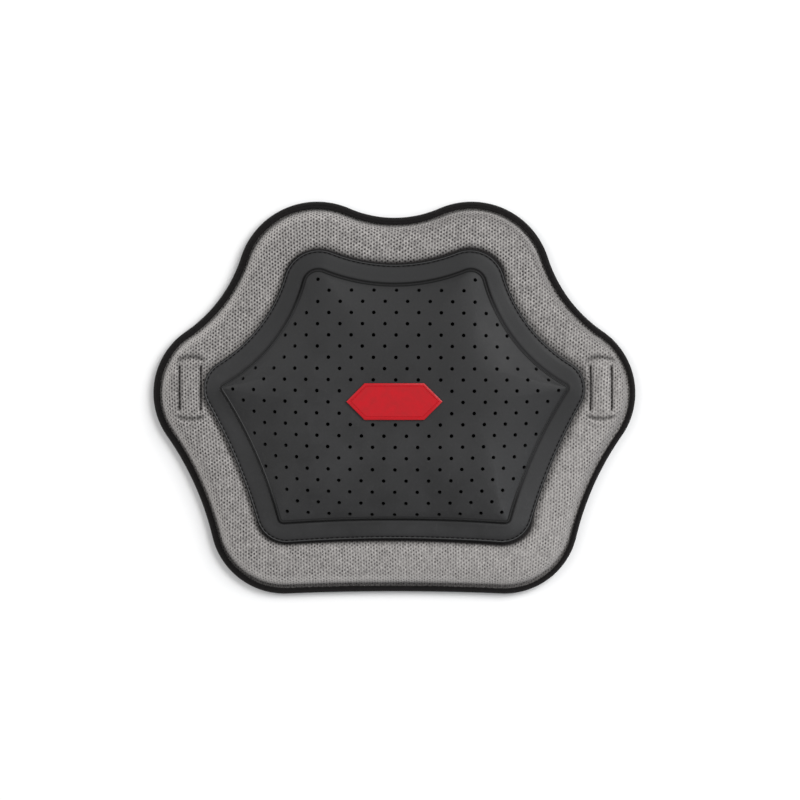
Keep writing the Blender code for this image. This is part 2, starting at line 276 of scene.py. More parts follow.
def smooth_rows(rows, spacing):
    """Rows between the given ones, on curves through them, about the given spacing apart."""
    rows = np.array(rows)
    steps = np.linalg.norm(np.diff(rows, axis=0), axis=2)
    steps = np.maximum(steps.mean(axis=1), 1e-6)
    places = np.concatenate([[0], np.cumsum(steps)])
    slopes = np.gradient(rows, places, axis=0, edge_order=1)
    fine = []
    for number, step in enumerate(steps):
        count = max(int(ceil(step / spacing)), 1)
        for part in range(count):
            t = part / count
            first = (1 + 2 * t) * (1 - t) ** 2 * rows[number] + t * (1 - t) ** 2 * step * slopes[number]
            last = t * t * (3 - 2 * t) * rows[number + 1] + t * t * (t - 1) * step * slopes[number + 1]
            fine.append(first + last)
    fine.append(rows[-1])
    return fine


def rows_to_mesh(rows, closed=False, capped=True):
    """Vertices and faces of a skin over rows of equally many points."""
    count = len(rows[0])
    verts = np.concatenate(rows)
    faces = []
    pairs = list(zip(range(len(rows) - 1), range(1, len(rows))))
    if closed:
        pairs.append((len(rows) - 1, 0))
    for low, high in pairs:
        near = low * count + np.arange(count)
        far = high * count + np.arange(count)
        faces += np.column_stack([near, np.roll(near, -1), np.roll(far, -1), far]).tolist()
    if capped and not closed:
        faces.append(list(range(count))[::-1])
        last = (len(rows) - 1) * count
        faces.append(list(range(last, last + count)))
    return verts, faces


def add_piece(name, verts, faces, mat):
    """A smooth-shaded mesh object that rides on the part's one body."""
    mesh = bpy.data.meshes.new(name)
    mesh.from_pydata([tuple(v) for v in verts], [], faces)
    mesh.validate()
    mesh.materials.append(mat)
    mesh.shade_smooth()
    obj = bpy.data.objects.new(name, mesh)
    bpy.context.scene.collection.objects.link(obj)
    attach(obj, "root")
    return obj


def face_outwards(obj):
    bm = bmesh.new()
    bm.from_mesh(obj.data)
    bmesh.ops.recalc_face_normals(bm, faces=bm.faces)
    bm.to_mesh(obj.data)
    bm.free()


def surface_tree(rows):
    verts, faces = rows_to_mesh(rows, capped=False)
    return BVHTree.FromPolygons([tuple(v) for v in verts], faces)


def drop_on(tree, x, y, start=0.1):
    """Height and normal of the surface straight below a place, or None beside it."""
    point, normal, _, _ = tree.ray_cast(Vector((x, y, start)), Vector((0, 0, -1)))
    if point is None:
        return None
    if normal.z < 0:
        normal = -normal
    return point, normal


# The surfaces


def plate_row(row, under=False):
    edge = outline(PLATE_SIZE, PLATE_SHAPE)
    panel = outline(PANEL_SIZE, PANEL_SHAPE)
    points = edge * (1 - row.flange) + panel * row.flange * row.share
    weight = middle_weight(points[:, 0])
    rise = DOME_RISE * (row.side * (1 - weight) + row.middle * weight)
    height = SEAT + rise + row.step * PANEL_STEP
    if not under:
        height = height + PLATE_THICKNESS
    return ring(points, height)


def flange_height(points, share):
    """Height of the flange's top, share of the way from its edge to the panel's foot."""
    weight = middle_weight(points[:, 0])
    outer, half, foot = PLATE_RINGS[:3]
    places = (0.0, 0.5, 1.0)
    side = np.interp(share, places, (outer.side, half.side, foot.side))
    middle = np.interp(share, places, (outer.middle, half.middle, foot.middle))
    return SEAT + PLATE_THICKNESS + DOME_RISE * (side * (1 - weight) + middle * weight)


def smooth_step(value, low, high):
    share = np.clip((value - low) / (high - low), 0, 1)
    return share * share * (3 - 2 * share)


def dome_row(share):
    """One ring of the panel's dome: the panel's outline, shrunk and made rounder on its way in, at heights
    that follow a smooth curve near those of the solids."""
    out = max(share - FLAT_SHARE, 0) / (PLATE_RINGS[3].share - FLAT_SHARE)
    side = 1 - (1 - PLATE_RINGS[3].side) * out ** 1.45
    middle = 1 - (1 - PLATE_RINGS[3].middle) * out ** 1.85
    rounder = 1 - smooth_step(share, 0.45, 0.97)
    sharp = outline(PANEL_SIZE, PANEL_SHAPE)
    soft = outline(PANEL_SIZE, DOME_SHAPE)
    points = (sharp * (1 - rounder) + soft * rounder) * share
    weight = middle_weight(points[:, 0])
    rise = DOME_RISE * (side * (1 - weight) + middle * weight)
    return ring(points, SEAT + PLATE_THICKNESS + PANEL_STEP + rise)


def plate_top_rows():
    """The plate's top from its outer wall to its middle, and how creased each row is."""
    rows = []
    creases = []
    for relief in PLATE_EDGE:
        points = outline(PLATE_SIZE, PLATE_SHAPE, relief.inset)
        share = relief.inset / FLANGE_WIDTH
        rows.append(ring(points, flange_height(points, share) + relief.height))
        creases.append(relief.crease)
    edge = outline(PLATE_SIZE, PLATE_SHAPE)
    panel = outline(PANEL_SIZE, PANEL_SHAPE)
    for share in (0.35, 0.5, 0.65, 0.8):
        points = edge * (1 - share) + panel * share
        rows.append(ring(points, flange_height(points, share)))
        creases.append(0.0)
    for relief in PANEL_EDGE:
        points = outline(PANEL_SIZE, PANEL_SHAPE, relief.inset)
        base = flange_height(points, 1.0)
        rows.append(ring(points, base + relief.height + relief.step * PANEL_STEP))
        creases.append(relief.crease)
    dome = [rows[-1]] + [dome_row(share) for share in (0.94, 0.88, 0.80, 0.70, 0.58, 0.48, FLAT_SHARE)]
    dome.append(dome[-1] * (0.5, 0.5, 1.0))
    dome = smooth_rows(dome, 2.5 * MM)[1:]
    return rows + dome, creases + [0.0] * len(dome)


def pad_top_rows():
    """The pad's top from its lip to the seam, and on a little way under the plate."""
    lip = outline(PAD_SIZE, PAD_SHAPE, LIP_INSET)
    seam = outline(PLATE_SIZE, PLATE_SHAPE, -SEAM_CLEARANCE)
    rows = [ring(outline(PAD_SIZE, PAD_SHAPE, BINDING_WALL + GAP), LIP_TOP)]
    for row in PAD_TOP:
        points = lip * (1 - row.across) + seam * row.across
        rise = DOME_RISE * row.middle * middle_weight(points[:, 0])
        rows.append(ring(points, LIP_TOP + (CROWN - LIP_TOP) * row.side + rise))
    edge = plate_row(PLATE_RINGS[0], under=True) - (0, 0, GAP)
    rows.append(np.column_stack([seam, edge[:, 2]]))
    rows.append(plate_row(PLATE_RINGS[1], under=True) - (0, 0, GAP))
    return rows


def side_relief(x, y):
    """How far the cover stands above or below the pad's own surface at the sewn sides."""
    across = abs(x - LINES_SHIFT) - PLATE_SIZE[0] - LINES_OUT
    along = y - LINES_CENTRE_Y
    if abs(across) > 15 * MM or abs(along) > 28 * MM:
        return 0.0
    band = max(1 - (2 * across / LINE_SPACING) ** 2, 0) * max(1 - (along / DENT_DISTANCE) ** 2, 0)
    from_line = abs(abs(across) - LINE_SPACING / 2)
    reach = min(max((LINE_LENGTH / 2 + 0.8 * MM - abs(along)) / (1.5 * MM), 0), 1)
    groove = exp(-(from_line / (0.62 * MM)) ** 2) * reach
    pull = exp(-(from_line / (2.4 * MM)) ** 2) * reach
    bow = DENT_DISTANCE + DENT_BOW * (1 - (2 * across / DENT_WIDTH) ** 2)
    from_dent = abs(along) - bow
    width = min(max((DENT_WIDTH / 2 - abs(across)) / (3 * MM), 0), 1)
    dent = exp(-(from_dent / (1.1 * MM)) ** 2) * width
    ridge = exp(-((from_dent - 3.2 * MM) / (1.5 * MM)) ** 2) * width
    return 1.3 * MM * band - 2.0 * MM * groove - 0.6 * MM * pull - 1.7 * MM * dent + 0.7 * MM * ridge


def knit_warp(x, y):
    """The knit's small waves and slants, where it was drawn over the foam."""
    slant = 0.05 * np.tanh(x / 0.06)
    dx = 0.9 * MM * np.sin(y / 0.019 + 1.3) * np.cos(x / 0.035) + slant * y * 0.6
    dy = 0.8 * MM * np.sin(x / 0.023 + 0.4) * np.cos(y / 0.041 + 0.8) - slant * x * 0.25
    return dx, dy


def openness(x, y):
    """How open the knit is: 1 at the upper left, nearly 0 at the lower right, and uneven between."""
    lean = -0.55 * x / PAD_SIZE[0] + 0.85 * y / PAD_SIZE[1]
    patch = noise.noise(Vector((x, y, 0)) / (6.0 * MM)) + 0.5 * noise.noise(Vector((x, y, 0)) / (2.6 * MM))
    return min(max(0.58 + 0.36 * lean + 0.60 * patch, 0.0), 1.0)


class EdgeWrap:
    """Brings flat cloth places near the pad's edge onto its sloping sides, keeping their length."""

    def __init__(self, rows):
        self.edge = outline(PAD_SIZE, PAD_SHAPE, fine=60)
        following = np.roll(self.edge, -1, axis=0)
        along = following - np.roll(self.edge, 1, axis=0)
        along /= np.linalg.norm(along, axis=1)[:, None]
        self.inward = np.column_stack([-along[:, 1], along[:, 0]])
        middle = len(rows[0]) // 24
        side = np.array([row[middle] for row in rows])
        flat = np.hypot(side[:, 0] - side[0, 0], side[:, 1] - side[0, 1]) + BINDING_WALL + GAP
        lengths = np.concatenate([[0], np.cumsum(np.linalg.norm(np.diff(side, axis=0), axis=1))])
        self.inset = flat
        self.cloth = lengths - np.interp(self.reach(), flat, lengths) + self.reach()

    @staticmethod
    def reach():
        return 17 * MM

    def place(self, points):
        """Real places of flat places, and their insets from the pad's outline."""
        moved = points.copy()
        insets = np.empty(len(points))
        for start in range(0, len(points), 2000):
            part = points[start:start + 2000]
            apart = part[:, None, :] - self.edge[None, :, :]
            near = (apart ** 2).sum(axis=2).argmin(axis=1)
            inward = self.inward[near]
            depth = ((part - self.edge[near]) * inward).sum(axis=1)
            aside = part - self.edge[near] - inward * depth[:, None]
            real = np.where(depth < self.reach(), np.interp(depth, self.cloth, self.inset), depth)
            moved[start:start + 2000] = self.edge[near] + inward * real[:, None] + aside
            insets[start:start + 2000] = real
        return moved, insets


def nearest(points, polygon):
    """Distance from each place to an outline, positive inside it, and how far along the outline that is."""
    start = polygon
    along = np.roll(polygon, -1, axis=0) - start
    lengths = np.linalg.norm(along, axis=1)
    behind = np.cumsum(lengths) - lengths
    result = np.empty(len(points))
    runs = np.empty(len(points))
    for first in range(0, len(points), 2000):
        part = points[first:first + 2000]
        away = part[:, None, :] - start[None, :, :]
        share = np.clip((away * along).sum(axis=2) / (along * along).sum(axis=1), 0, 1)
        gap = away - along * share[:, :, None]
        squares = (gap * gap).sum(axis=2)
        closest = squares.argmin(axis=1)
        distance = np.sqrt(squares.min(axis=1))
        runs[first:first + 2000] = behind[closest] + share[np.arange(len(part)), closest] * lengths[closest]
        y = part[:, 1:2]
        crosses = (start[:, 1] > y) != (start[:, 1] + along[:, 1] > y)
        level = np.where(crosses, along[:, 1], 1.0)
        meets = start[:, 0] + (y - start[:, 1]) / level * along[:, 0]
        inside = (crosses & (meets > part[:, 0:1])).sum(axis=1) % 2
        result[first:first + 2000] = np.where(inside == 1, distance, -distance)
    return result, runs


def depth_inside(points, polygon):
    return nearest(points, polygon)[0]


# The materials


class Nodes:
    """Small helper that adds and links shader nodes."""

    def __init__(self, name, colour, roughness):
        self.mat = bpy.data.materials.new(name)
        self.mat.use_nodes = True
        self.tree = self.mat.node_tree
        self.shader = self.tree.nodes["Principled BSDF"]
        self.shader.inputs["Base Color"].default_value = (*colour, 1)
        self.shader.inputs["Roughness"].default_value = roughness

    def add(self, kind, **values):
        node = self.tree.nodes.new(kind)
        for key, value in values.items():
            if key in node.inputs:
                node.inputs[key].default_value = value
            else:
                setattr(node, key, value)
        return node

    def link(self, source, target):
        self.tree.links.new(source, target)

    def place(self, stretch=(1, 1, 1)):
        """Object coordinates in millimetres, stretched."""
        coord = self.add("ShaderNodeTexCoord")
        mapping = self.add("ShaderNodeMapping")
        mapping.inputs["Scale"].default_value = [1000 * s for s in stretch]
        self.link(coord.outputs["Object"], mapping.inputs["Vector"])
        return mapping.outputs["Vector"]

    def noise(self, size, stretch=(1, 1, 1), detail=3.0, roughness=0.55):
        """Noise whose features are about this many millimetres wide."""
        node = self.add("ShaderNodeTexNoise", Scale=1.0 / size, Detail=detail, Roughness=roughness)
        self.link(self.place(stretch), node.inputs["Vector"])
        return node.outputs["Fac"]

    def point(self, name):
        """A value stored on the mesh's points."""
        return self.add("ShaderNodeAttribute", attribute_name=name).outputs["Fac"]

    def split(self):
        """Object coordinates in millimetres, one output each."""
        node = self.add("ShaderNodeSeparateXYZ")
        self.link(self.place(), node.inputs[0])
        return node.outputs

    def join(self, x, y):
        node = self.add("ShaderNodeCombineXYZ")
        self.link(x, node.inputs[0])
        self.link(y, node.inputs[1])
        return node.outputs[0]

    def soft(self, value, low, high, start=0.0, end=1.0):
        """A ramp that eases in and out."""
        result = self.ramp(value, low, high, start, end)
        result.node.interpolation_type = "SMOOTHSTEP"
        return result

    def ramp(self, value, low, high, start=0.0, end=1.0):
        node = self.add("ShaderNodeMapRange")
        node.inputs["From Min"].default_value = low
        node.inputs["From Max"].default_value = high
        node.inputs["To Min"].default_value = start
        node.inputs["To Max"].default_value = end
        self.link(value, node.inputs["Value"])
        return node.outputs["Result"]

    def math(self, operation, first, second):
        node = self.add("ShaderNodeMath", operation=operation)
        for socket, value in zip(node.inputs, (first, second)):
            if isinstance(value, (int, float)):
                socket.default_value = value
            else:
                self.link(value, socket)
        return node.outputs[0]

    def mix(self, fac, first, second):
        node = self.add("ShaderNodeMix", data_type="RGBA")
        if isinstance(fac, (int, float)):
            node.inputs[0].default_value = fac
        else:
            self.link(fac, node.inputs[0])
        for socket, value in zip((node.inputs[6], node.inputs[7]), (first, second)):
            if isinstance(value, tuple):
                socket.default_value = (*value, 1)
            else:
                self.link(value, socket)
        return node.outputs[2]

    def colour(self, value):
        self.link(value, self.shader.inputs["Base Color"])

    def rough(self, value):
        self.link(value, self.shader.inputs["Roughness"])

    def bump(self, layers):
        """Bumps from (height output, depth in millimetres) pairs, the coarsest first."""
        normal = None
        for value, depth in layers:
            node = self.add("ShaderNodeBump")
            node.inputs["Strength"].default_value = 1.0
            node.inputs["Distance"].default_value = depth * MM
            self.link(value, node.inputs["Height"])
            if normal is not None:
                self.link(normal, node.inputs["Normal"])
            normal = node.outputs["Normal"]
        self.link(normal, self.shader.inputs["Normal"])


def sewn_shade(n):
    """Where the sewn lines and the dents at the sides are in their own shadow, 0 to 1."""
    x, y, _ = n.split()
    off = n.math("ABSOLUTE", n.math("SUBTRACT", x, LINES_SHIFT / MM), 0)
    across = n.math("SUBTRACT", off, (PLATE_SIZE[0] + LINES_OUT) / MM)
    aside = n.math("ABSOLUTE", across, 0)
    along = n.math("ABSOLUTE", n.math("SUBTRACT", y, LINES_CENTRE_Y / MM), 0)
    from_line = n.math("ABSOLUTE", n.math("SUBTRACT", aside, LINE_SPACING / 2 / MM), 0)
    frayed = n.math("ADD", from_line, n.ramp(n.noise(1.1, detail=2.0), 0.3, 0.7, -0.35, 0.35))
    line = n.soft(frayed, 0.2 * LINE_WIDTH / MM, 0.9 * LINE_WIDTH / MM, 0.75, 0.0)
    line_end = LINE_LENGTH / 2 / MM
    line = n.math("MULTIPLY", line, n.soft(along, line_end, line_end + 1.2, 1.0, 0.0))
    dent_end = DENT_WIDTH / 2 / MM
    share = n.math("DIVIDE", aside, dent_end)
    bow = n.math("MULTIPLY", n.math("SUBTRACT", 1.0, n.math("MULTIPLY", share, share)), DENT_BOW / MM)
    from_dent = n.math("SUBTRACT", along, n.math("ADD", bow, DENT_DISTANCE / MM))
    ragged = n.math("ADD", from_dent, n.ramp(n.noise(1.6, detail=1.0), 0.3, 0.7, -0.5, 0.5))
    dent = n.soft(n.math("ABSOLUTE", ragged, 0), 0.2, 1.9, 0.55, 0.0)
    dent = n.math("MULTIPLY", dent, n.soft(aside, dent_end - 2.0, dent_end + 0.6, 1.0, 0.0))
    return n.math("MAXIMUM", line, dent)


def seam_shade(n):
    """Painted shade where the cover dips to the plate's seam: a dark crevice, wider at the top and bottom,
    and dark streaks along the lower and lower right side, painted shadows of yarns drawn down into the
    seam."""
    x, y, _ = n.split()
    seam = n.point("seam")
    run = n.point("run")
    at_top = n.soft(y, 62.0, 84.0, -0.8, 1.1)
    at_bottom = n.soft(y, -84.0, -66.0, 1.4, -0.8)
    wide = n.math("MAXIMUM", at_top, at_bottom)
    wide = n.math("ADD", wide, n.ramp(x, -90.0, 90.0, -0.8, 0.5))
    crevice = n.soft(n.math("SUBTRACT", seam, wide), -0.6, 3.0, 1.0, 0.0)
    crevice = n.math("MULTIPLY", crevice, crevice)
    slanted = n.math("ADD", run, n.math("MULTIPLY", seam, 0.8))
    streaks = n.add("ShaderNodeTexNoise", Scale=1.0, Detail=2.0, Roughness=0.6)
    drawn = n.join(n.math("MULTIPLY", slanted, 1.15), n.math("MULTIPLY", seam, 0.22))
    n.link(drawn, streaks.inputs["Vector"])
    streak_shade = n.ramp(streaks.outputs["Fac"], 0.45, 0.56)
    low = n.soft(n.math("SUBTRACT", n.math("MULTIPLY", x, 0.9), y), 20.0, 75.0, 0.25, 1.0)
    near = n.soft(n.math("SUBTRACT", seam, wide), 0.6, 4.4, 0.62, 0.0)
    streak_shade = n.math("MULTIPLY", n.math("MULTIPLY", streak_shade, low), near)
    return n.math("MAXIMUM", crevice, streak_shade)


def knit_material():
    """Grey polyester yarn round holes painted dark as their shade: knots lit by a painted highlight, duller
    strands, soiled and streaked in places, with painted shade in creases and at seams.
    """
    n = Nodes("knit_yarn", (0.42, 0.40, 0.39), 0.85)
    n.shader.inputs["Sheen Weight"].default_value = 0.15
    n.shader.inputs["Sheen Roughness"].default_value = 0.5
    n.shader.inputs["Specular IOR Level"].default_value = 0.25
    tone = n.point("tone")
    fibre = n.noise(0.5, (1.5, 0.8, 1.0), detail=2.0)
    blotch = n.noise(7.0, detail=5.0, roughness=0.65)
    streak = n.noise(1.5, (1.0, 0.22, 1.0), detail=3.0, roughness=0.6)
    # The yarn's tone: a painted highlight on the knots, painted duller on the strands between them.
    yarn = n.mix(n.ramp(tone, 0.70, 1.60), YARN_DULL, YARN_BRIGHT)
    yarn = n.mix(n.ramp(streak, 0.52, 0.68, 0.0, 0.55), yarn, YARN_SOIL_AND_SHADE)
    yarn = n.mix(n.ramp(blotch, 0.54, 0.72, 0.0, 0.45), yarn, YARN_SOIL_AND_SHADE)
    yarn = n.mix(n.ramp(fibre, 0.35, 0.65, 0.45, 0.0), yarn, YARN_SOIL_AND_SHADE)
    # Along a shoulder a few millimetres in from the tape: a painted highlight, stronger to the left, and
    # painted shade on its right part; both lie further in at the top and bottom.
    end = n.soft(n.math("ABSOLUTE", n.split()[1], 0), 62.0, 100.0, 0.0, 1.4)
    rim = n.math("SUBTRACT", n.point("rim"), end)
    ridge = n.math("MULTIPLY", n.soft(rim, 0.6, 2.4), n.soft(rim, 3.2, 7.0, 1.0, 0.0))
    x, y, _ = n.split()
    lit = n.math("ADD", n.math("MULTIPLY", x, 0.9), n.math("MULTIPLY", y, 0.5))
    yarn = n.mix(n.math("MULTIPLY", ridge, n.soft(lit, -60.0, 70.0, 0.40, 0.0)), yarn, YARN_BRIGHT)
    yarn = n.mix(n.math("MULTIPLY", ridge, n.soft(lit, 0.0, 100.0, 0.0, 0.45)), yarn, YARN_SOIL_AND_SHADE)
    # Yarn a little lighter towards the lower right.
    lighter_low_right = n.soft(n.math("SUBTRACT", n.math("MULTIPLY", x, 0.7), y), 20.0, 120.0, 0.0, 0.12)
    yarn = n.mix(lighter_low_right, yarn, YARN_BRIGHT)
    # Towards each hole's floor the yarn gives way to the holes' painted shade.
    colour = n.mix(n.ramp(tone, 0.10, 0.75), KNIT_HOLE_SHADE, yarn)
    shade = n.math("MAXIMUM", sewn_shade(n), seam_shade(n))
    # Painted shade on the knit along the tape's inner edge.
    shade = n.math("MAXIMUM", shade, n.soft(rim, -0.2, 1.0, 0.6, 0.0))
    n.colour(n.mix(shade, colour, KNIT_SHADE))
    n.rough(n.ramp(fibre, 0.2, 0.8, 0.75, 0.95))
    n.bump([(streak, 0.10), (fibre, 0.12)])
    return n.mat


def lining_material():
    """The same knit seen flat on the back, with its holes as painted shade in the colour and as bump, over
    foam.
    """
    n = Nodes("knit_lining", (0.30, 0.29, 0.28), 0.9)
    n.shader.inputs["Sheen Weight"].default_value = 0.2
    place = n.add("ShaderNodeTexCoord").outputs["Object"]
    split = n.add("ShaderNodeSeparateXYZ")
    n.link(place, split.inputs[0])
    column = n.math("MULTIPLY", split.outputs["X"], 1 / KNIT_COLUMN)
    pitch = n.math("MULTIPLY", split.outputs["Y"], 2 / KNIT_PITCH)
    first = n.math("MULTIPLY", n.math("ADD", pitch, column), 0.5)
    second = n.math("MULTIPLY", n.math("SUBTRACT", pitch, column), 0.5)
    join = n.add("ShaderNodeCombineXYZ")
    n.link(first, join.inputs[0])
    n.link(second, join.inputs[1])
    cells = n.add("ShaderNodeTexVoronoi", voronoi_dimensions="2D", Randomness=0.12, Scale=1.0)
    n.link(join.outputs[0], cells.inputs["Vector"])
    hole = cells.outputs["Distance"]
    fibre = n.noise(0.3, (1.4, 0.8, 1.0), detail=2.0)
    blotch = n.noise(11.0, detail=3.0)
    light = n.mix(n.ramp(blotch, 0.35, 0.7), (0.36, 0.345, 0.33), (0.45, 0.43, 0.415))
    light = n.mix(n.ramp(fibre, 0.3, 0.7, 0.3, 0.0), light, (0.20, 0.19, 0.185))
    # Holes painted near-black as their shade.
    n.colour(n.mix(n.ramp(hole, 0.20, 0.36), (0.04, 0.037, 0.037), light))
    n.bump([(n.ramp(hole, 0.12, 0.42), 0.5), (fibre, 0.08)])
    return n.mat


def binding_material():
    """Black woven tape: fine ribs across the tape, whose place along the edge is in the UV map."""
    n = Nodes("binding_weave", (0.006, 0.005, 0.005), 0.8)
    n.shader.inputs["Sheen Weight"].default_value = 0.04
    n.shader.inputs["Sheen Roughness"].default_value = 0.6
    n.shader.inputs["Specular IOR Level"].default_value = 0.16
    run = n.add("ShaderNodeUVMap", uv_map="run").outputs["UV"]
    ribs = n.add("ShaderNodeTexWave", wave_type="BANDS", bands_direction="X", Scale=0.5, Distortion=0.6)
    ribs.inputs["Detail Scale"].default_value = 2.0
    n.link(run, ribs.inputs["Vector"])
    threads = n.add("ShaderNodeTexWave", wave_type="BANDS", bands_direction="Y", Scale=0.9, Distortion=0.4)
    n.link(run, threads.inputs["Vector"])
    fuzz = n.noise(0.35, detail=3.0)
    weave = n.math("MULTIPLY", ribs.outputs["Fac"], threads.outputs["Fac"])
    n.colour(n.mix(n.ramp(fuzz, 0.35, 0.75), (0.0035, 0.0030, 0.0030), (0.013, 0.0105, 0.0105)))
    n.rough(n.ramp(fuzz, 0.2, 0.8, 0.7, 0.92))
    n.bump([(weave, 0.12), (fuzz, 0.10)])
    return n.mat


def plate_material():
    """Satin dark grey rubber with a fine grain, dull smudges and slightly paler scuffs, painted shade in
    its creases and over its upper part, and a painted highlight along its lip.
    """
    n = Nodes("plate_rubber", (0.025, 0.025, 0.026), 0.5)
    n.shader.inputs["Specular IOR Level"].default_value = 0.36
    grain = n.noise(0.28, detail=2.0)
    skin = n.noise(1.6, detail=3.0)
    smudge = n.noise(22.0, detail=4.0, roughness=0.6)
    scuff = n.noise(3.5, (1.0, 0.25, 1.0), detail=4.0, roughness=0.7)
    tone = n.mix(n.ramp(smudge, 0.35, 0.7), (0.019, 0.019, 0.0195), (0.027, 0.027, 0.028))
    tone = n.mix(n.ramp(skin, 0.55, 0.8, 0.0, 0.25), tone, (0.046, 0.046, 0.047))
    tone = n.mix(n.ramp(scuff, 0.62, 0.80, 0.0, 0.30), tone, (0.060, 0.060, 0.060))
    x, y, _ = n.split()
    # Painted shade over the upper part of the plate, darker towards the top and the right.
    upper = n.soft(n.math("ADD", n.math("MULTIPLY", x, 0.45), y), -70.0, 80.0)
    tone = n.mix(n.math("MULTIPLY", upper, 0.55), tone, (0.010, 0.010, 0.0105))
    # Painted shade in the plate's creases, stronger at the top and bottom, and a painted highlight on the
    # lip where the crease value is below zero.
    strong = n.soft(n.math("ABSOLUTE", y, 0), 46.0, 68.0, 0.22, 0.90)
    crease = n.math("MULTIPLY", n.point("crease"), strong)
    tone = n.mix(n.ramp(n.point("crease"), -1.0, 0.0, 1.0, 0.0), tone, (0.105, 0.105, 0.107))
    n.colour(n.mix(crease, tone, (0.003, 0.003, 0.003)))
    rough = n.math("ADD", n.ramp(smudge, 0.3, 0.7, 0.42, 0.54), n.ramp(grain, 0.3, 0.7, -0.03, 0.05))
    rough = n.math("ADD", rough, n.math("MULTIPLY", upper, 0.12))
    n.rough(n.math("ADD", rough, n.math("MULTIPLY", crease, 0.4)))
    n.bump([(skin, 0.05), (grain, 0.035)])
    return n.mat


def hole_shade_foam_material():
    """Near-black foam, seen only through the plate's holes: painted shade for their depth."""
    n = Nodes("hole_shade_foam", (0.003, 0.003, 0.003), 0.95)
    n.shader.inputs["Specular IOR Level"].default_value = 0.05
    cells = n.noise(0.5, detail=1.0)
    n.colour(n.mix(n.ramp(cells, 0.4, 0.6), (0.002, 0.002, 0.002), (0.006, 0.006, 0.006)))
    n.bump([(cells, 0.15)])
    return n.mat


def thread_material(name, dark, light):
    """Twisted polyester sewing thread."""
    n = Nodes(name, dark, 0.75)
    n.shader.inputs["Specular IOR Level"].default_value = 0.12
    twist = n.noise(0.12, (1.0, 1.0, 1.0), detail=1.0)
    n.colour(n.mix(n.ramp(twist, 0.35, 0.65), dark, light))
    n.bump([(twist, 0.06)])
    return n.mat


def badge_material():
    """Satin red plastic, a little darker in random patches, with a faint orange-peel."""
    n = Nodes("badge_red", (0.50, 0.002, 0.010), 0.4)
    n.shader.inputs["Coat Weight"].default_value = 0.12
    n.shader.inputs["Coat Roughness"].default_value = 0.25
    n.shader.inputs["Specular IOR Level"].default_value = 0.35
    peel = n.noise(1.1, detail=2.0)
    wear = n.noise(6.0, detail=4.0)
    n.colour(n.mix(n.ramp(wear, 0.35, 0.75), (0.49, 0.002, 0.009), (0.40, 0.001, 0.006)))
    n.rough(n.ramp(wear, 0.3, 0.7, 0.30, 0.42))
    n.bump([(peel, 0.05)])
    return n.mat


def floor_material():
    """Plain white paper sweep, with a barely visible tooth."""
    n = Nodes("paper_floor", (0.96, 0.96, 0.96), 0.9)
    n.shader.inputs["Specular IOR Level"].default_value = 0.1
    tooth = n.noise(1.5, detail=2.0)
    n.colour(n.mix(n.ramp(tooth, 0.3, 0.7), (0.96, 0.96, 0.96), (0.97, 0.97, 0.97)))
    return n.mat


# The pieces


def make_pad_core(top_rows):
    """The foam body: the pad's form, its top lowered a little so that the knit lies over it."""
    sunk = 1.3 * MM
    plate_edge = outline(PLATE_SIZE, PLATE_SHAPE)
    back = [ring(plate_edge * row.outline, BACK_HOLLOW * row.depth) for row in BACK_RINGS]
    back.append(ring(outline(PAD_SIZE, PAD_SHAPE, 16 * MM), 0.0))
    back = smooth_rows([back[0] * (0.5, 0.5, 1.0)] + back, 5 * MM)
    for row in back:
        row[:, 2] = np.clip(row[:, 2], 0, None)
    rim = []
    for inset, height in ((BACK_RIM + 1.5 * MM, 0.0), (BACK_RIM, 0.12 * MM), (6.2 * MM, 0.7 * MM),
                          (5.4 * MM, 1.3 * MM), (LIP_INSET, LIP_LOW), (3.0 * MM, LIP_LOW),
                          (BINDING_WALL + GAP, LIP_LOW), (BINDING_WALL + GAP, LIP_TOP)):
        rim.append(ring(outline(PAD_SIZE, PAD_SHAPE, inset), height))
    lowered = []
    for row in top_rows[1:]:
        row = row.copy()
        row[:, 2] = np.maximum(row[:, 2] - sunk, LIP_TOP - 0.6 * MM)
        for point in row:
            point[2] += min(side_relief(point[0], point[1]), 0.0)
        lowered.append(row)
    seat = [plate_row(row, under=True) - (0, 0, GAP) for row in PLATE_RINGS[2:]]
    seat[0] = seat[0] * (0.98, 0.98, 1.0)
    seat[1] = seat[1] * (0.975, 0.975, 1.0)
    outside = back + rim + lowered
    rows = outside + smooth_rows(seat, 5 * MM)
    verts, faces = rows_to_mesh(rows)
    core = add_piece("pad_core", verts, faces, lining_material())
    core.data.materials.append(hole_shade_foam_material())
    # The core's faces under the plate take the near-black foam, painted shade under the holes.
    under_plate = (len(outside) - 1) * len(rows[0])
    for polygon in core.data.polygons[under_plate:]:
        if polygon.index != len(faces) - 2:
            polygon.material_index = 1
    face_outwards(core)
    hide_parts("pad")
    return core


# One dimple of the knit, from its rim of yarn to its floor, for a closed and an open hole: width, height,
# depth and tone, the tone falling towards the floor as the hole's painted shade. A closed hole is an
# upright slit between two ribs.
DimpleRing = namedtuple("DimpleRing", "closed open")
Dimple = namedtuple("Dimple", "width height depth tone")
DIMPLE = (
    DimpleRing(Dimple(0.62, 0.80, 0.02, 0.95), Dimple(0.70, 0.68, 0.06, 0.95)),
    DimpleRing(Dimple(0.24, 0.46, 0.12, 0.66), Dimple(0.38, 0.37, 0.45, 0.32)),
    DimpleRing(Dimple(0.11, 0.26, 0.20, 0.40), Dimple(0.21, 0.21, 0.80, 0.00)),
)
HEXAGON = ((2, 0), (1, 1), (-1, 1), (-2, 0), (-1, -1), (1, -1))


